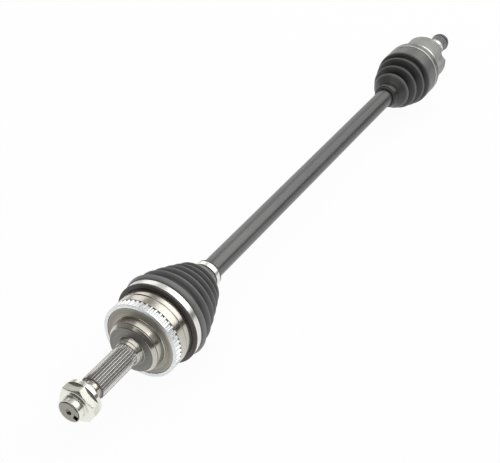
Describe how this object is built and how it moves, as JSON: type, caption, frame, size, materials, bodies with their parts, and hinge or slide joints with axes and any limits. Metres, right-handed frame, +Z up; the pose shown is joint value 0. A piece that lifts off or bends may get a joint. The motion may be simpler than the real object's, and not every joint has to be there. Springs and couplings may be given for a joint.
{
  "type": "cv axle",
  "caption": "Drive half shaft: a bar with a ball-type constant-velocity joint and splined stub at the wheel end and a plunging tripod joint at the gearbox end, under ribbed boots.",
  "frame": {"origin": "on the axle line, in the middle of the bar, halfway between the two joint centres", "axes": "+X along the axle from the wheel end to the gearbox end, +Z up"},
  "size_m": [0.943, 0.1008, 0.1008],
  "materials": {
    "bar_steel": "satin dark grey",
    "machined_steel": "bright turned",
    "zinc_plate": "bright zinc plate",
    "zinc_yellow": "pale yellow zinc plate",
    "hard_steel": "ground and hardened",
    "spring_steel": "dark oiled",
    "housing_steel": "forged and part machined",
    "band_steel": "bright stainless band",
    "band_black": "black band",
    "boot_rubber": "satin dark grey rubber",
    "insert_plastic": "black"
  },
  "bodies": {
    "shaft": {"axle_bar": "bar_steel", "inner_race": "hard_steel", "inner_race_circlip": "spring_steel", "inner_race_stop_ring": "spring_steel", "outer_small_clamp": "band_steel", "inner_small_clamp": "band_black", "tripod_spider": "hard_steel", "spider_circlip": "spring_steel", "needle_set_2": "hard_steel", "needle_set_3": "hard_steel", "roller_retainer_1": "spring_steel", "roller_retainer_2": "spring_steel", "roller_retainer_3": "spring_steel"},
    "ball_top": {"outer_ball_1": "hard_steel"},
    "cage": {"outer_cage": "hard_steel", "outer_ball_2": "hard_steel", "outer_ball_3": "hard_steel", "outer_ball_5": "hard_steel", "outer_ball_6": "hard_steel"},
    "ball_bottom": {"outer_ball_4": "hard_steel"},
    "outer_joint": {"outer_race": "machined_steel", "abs_tone_ring": "zinc_plate", "axle_nut": "zinc_yellow", "outer_large_clamp": "band_steel", "outer_boot": "boot_rubber"},
    "trunnion_needles": {"needle_set_1": "hard_steel"},
    "inner_boot_body": {"inner_boot": "boot_rubber"},
    "inner_joint": {"tripod_housing": "housing_steel", "boot_insert": "insert_plastic", "inner_large_clamp": "band_steel", "gearbox_circlip": "spring_steel"},
    "roller_1": {"tripod_roller_1": "hard_steel"},
    "roller_2": {"tripod_roller_2": "hard_steel"},
    "roller_3": {"tripod_roller_3": "hard_steel"}
  },
  "joints": [
    {"name": "outer_bump_inner_half", "type": "hinge", "parent": "shaft", "child": "ball_top", "pos_m": [-0.35, 0, 0], "axis": [0, 1, 0], "range_deg": [-10, 10], "deforming": ["outer_boot"]},
    {"name": "outer_steer_inner_half", "type": "hinge", "parent": "ball_top", "child": "cage", "pos_m": [-0.35, 0, 0], "axis": [0, 0, 1], "range_deg": [-20, 20]},
    {"name": "outer_steer_outer_half", "type": "hinge", "parent": "cage", "child": "ball_bottom", "pos_m": [-0.35, 0, 0], "axis": [0, 0, 1], "range_deg": [-20, 20]},
    {"name": "outer_bump_outer_half", "type": "hinge", "parent": "ball_bottom", "child": "outer_joint", "pos_m": [-0.35, 0, 0], "axis": [0, 1, 0], "range_deg": [-10, 10]},
    {"name": "inner_swing_side", "type": "hinge", "parent": "shaft", "child": "trunnion_needles", "pos_m": [0.35, 0, 0], "axis": [0, 0, 1], "range_deg": [-12, 12], "deforming": ["inner_boot"]},
    {"name": "inner_swing_up", "type": "hinge", "parent": "trunnion_needles", "child": "inner_boot_body", "pos_m": [0.35, 0, 0], "axis": [0, 1, 0], "range_deg": [-12, 12]},
    {"name": "inner_plunge", "type": "slide", "parent": "inner_boot_body", "child": "inner_joint", "axis": [1, 0, 0], "range_m": [-0.013, 0.01]},
    {"name": "roller_1_turn", "type": "hinge", "parent": "shaft", "child": "roller_1", "pos_m": [0.35, 0, 0], "axis": [0, 0, 1], "range_deg": [-54, 42]},
    {"name": "roller_2_turn", "type": "hinge", "parent": "shaft", "child": "roller_2", "pos_m": [0.35, 0, 0], "axis": [0, -0.866, -0.5], "range_deg": [-54, 42]},
    {"name": "roller_3_turn", "type": "hinge", "parent": "shaft", "child": "roller_3", "pos_m": [0.35, 0, 0], "axis": [0, 0.866, -0.5], "range_deg": [-54, 42]}
  ],
  "couplings": [
    {"joint": "outer_steer_outer_half", "follows": "outer_steer_inner_half", "ratio": 1},
    {"joint": "outer_bump_outer_half", "follows": "outer_bump_inner_half", "ratio": 1},
    {"joint": "roller_1_turn", "follows": "inner_plunge", "rad_per_m": 71.429},
    {"joint": "roller_2_turn", "follows": "inner_plunge", "rad_per_m": 71.429},
    {"joint": "roller_3_turn", "follows": "inner_plunge", "rad_per_m": 71.429}
  ]
}
